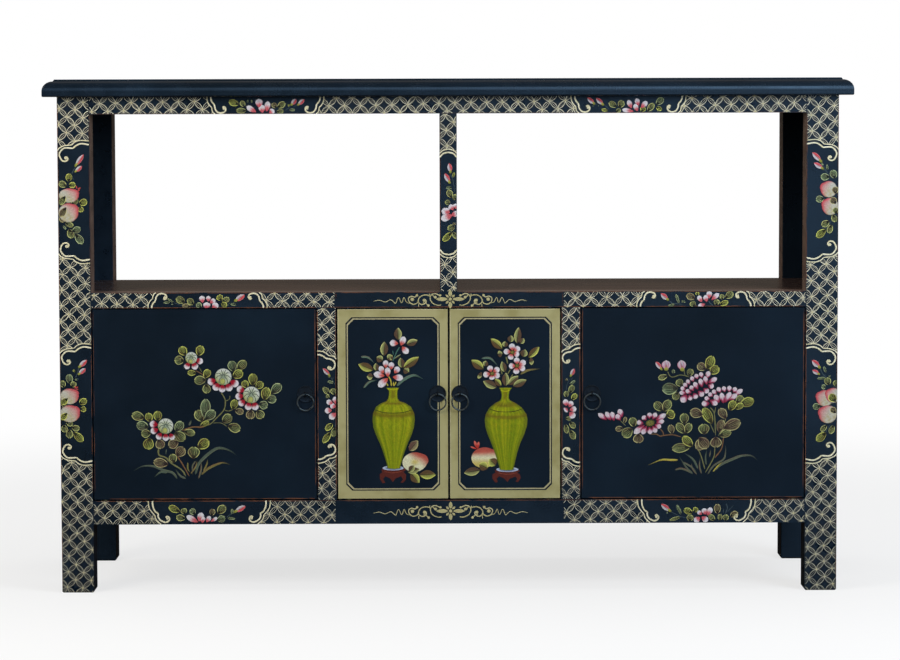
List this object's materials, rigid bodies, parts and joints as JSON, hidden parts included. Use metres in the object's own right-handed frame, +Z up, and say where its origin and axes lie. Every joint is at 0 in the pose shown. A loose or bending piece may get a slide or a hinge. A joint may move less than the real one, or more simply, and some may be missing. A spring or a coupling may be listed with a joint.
{
  "type": "painted sideboard",
  "caption": "Low lacquered sideboard on square legs, with an open two-bay shelf over hinged cupboards, painted coin lattice, flower sprays and vases, and iron ring pulls.",
  "frame": {"origin": "on the floor under the middle of the frame", "axes": "+X to the right seen from the front, +Y to the back, +Z up"},
  "size_m": [1.205, 0.422, 0.77],
  "materials": {
    "frame_lacquer": "satin blue-black lacquer over wood, rubbed through at the arrises",
    "door_lacquer": "satin blue-black lacquer with painted ornament",
    "stained_wood": "dark brown stain, low sheen",
    "bare_wood": "planed, unfinished",
    "painted_ornament": "hand-brushed paint, eggshell",
    "black_iron": "blackened, lightly rubbed",
    "steel": "plain",
    "brass": "turned",
    "catch_plastic": "moulded"
  },
  "bodies": {
    "carcass": {"back_panel": "frame_lacquer", "bottom_rail_back": "frame_lacquer", "bottom_rail_front": "frame_lacquer", "bottom_rail_left": "frame_lacquer", "bottom_rail_right": "frame_lacquer", "centre_panel": "stained_wood", "compartment_wall_left": "stained_wood", "compartment_wall_right": "stained_wood", "divider_stile_left": "frame_lacquer", "divider_stile_right": "frame_lacquer", "fixing_screws": "steel", "floor_board": "stained_wood", "leg_back_left": "frame_lacquer", "leg_back_right": "frame_lacquer", "leg_front_left": "frame_lacquer", "leg_front_right": "frame_lacquer", "magnet_catches": "catch_plastic", "mid_rail_back": "frame_lacquer", "mid_rail_front": "frame_lacquer", "mid_rail_left": "frame_lacquer", "mid_rail_right": "frame_lacquer", "mullion_back": "frame_lacquer", "mullion_front": "frame_lacquer", "pivot_bushes": "brass", "shelf_board": "stained_wood", "side_panel_lower_left": "frame_lacquer", "side_panel_lower_right": "frame_lacquer", "side_panel_upper_left": "frame_lacquer", "side_panel_upper_right": "frame_lacquer", "top_board": "frame_lacquer", "top_buttons": "bare_wood", "top_cross_rail": "frame_lacquer", "top_rail_back": "frame_lacquer", "top_rail_front": "frame_lacquer", "top_rail_left": "frame_lacquer", "top_rail_right": "frame_lacquer"},
    "door_left": {"door_left": "door_lacquer", "pivot_pins_left": "steel", "pull_eye_left": "black_iron", "pull_plate_left": "black_iron", "strike_plate_left": "steel"},
    "ring_left": {"pull_ring_left": "black_iron"},
    "door_centre_left": {"door_centre_left": "door_lacquer", "pivot_pins_centre_left": "steel", "pull_eye_centre_left": "black_iron", "pull_plate_centre_left": "black_iron", "strike_plate_centre_left": "steel"},
    "ring_centre_left": {"pull_ring_centre_left": "black_iron"},
    "door_centre_right": {"door_centre_right": "door_lacquer", "pivot_pins_centre_right": "steel", "pull_eye_centre_right": "black_iron", "pull_plate_centre_right": "black_iron", "strike_plate_centre_right": "steel"},
    "ring_centre_right": {"pull_ring_centre_right": "black_iron"},
    "door_right": {"door_right": "door_lacquer", "pivot_pins_right": "steel", "pull_eye_right": "black_iron", "pull_plate_right": "black_iron", "strike_plate_right": "steel"},
    "ring_right": {"pull_ring_right": "black_iron"}
  },
  "joints": [
    {"name": "door_left_swing", "type": "hinge", "parent": "carcass", "child": "door_left", "pos_m": [-0.517, -0.184, 0.28375], "axis": [0, 0, -1], "range_deg": [0, 110]},
    {"name": "ring_left_lift", "type": "hinge", "parent": "door_left", "child": "ring_left", "pos_m": [-0.21467, -0.19655, 0.299], "axis": [-1, 0, 0], "range_deg": [0, 165]},
    {"name": "door_centre_left_swing", "type": "hinge", "parent": "carcass", "child": "door_centre_left", "pos_m": [-0.15117, -0.184, 0.28375], "axis": [0, 0, -1], "range_deg": [0, 110]},
    {"name": "ring_centre_left_lift", "type": "hinge", "parent": "door_centre_left", "child": "ring_centre_left", "pos_m": [-0.01675, -0.19655, 0.299], "axis": [-1, 0, 0], "range_deg": [0, 165]},
    {"name": "door_centre_right_swing", "type": "hinge", "parent": "carcass", "child": "door_centre_right", "pos_m": [0.15117, -0.184, 0.28375], "axis": [0, 0, 1], "range_deg": [0, 110]},
    {"name": "ring_centre_right_lift", "type": "hinge", "parent": "door_centre_right", "child": "ring_centre_right", "pos_m": [0.01675, -0.19655, 0.299], "axis": [-1, 0, 0], "range_deg": [0, 165]},
    {"name": "door_right_swing", "type": "hinge", "parent": "carcass", "child": "door_right", "pos_m": [0.517, -0.184, 0.28375], "axis": [0, 0, 1], "range_deg": [0, 110]},
    {"name": "ring_right_lift", "type": "hinge", "parent": "door_right", "child": "ring_right", "pos_m": [0.21467, -0.19655, 0.299], "axis": [-1, 0, 0], "range_deg": [0, 165]}
  ]
}
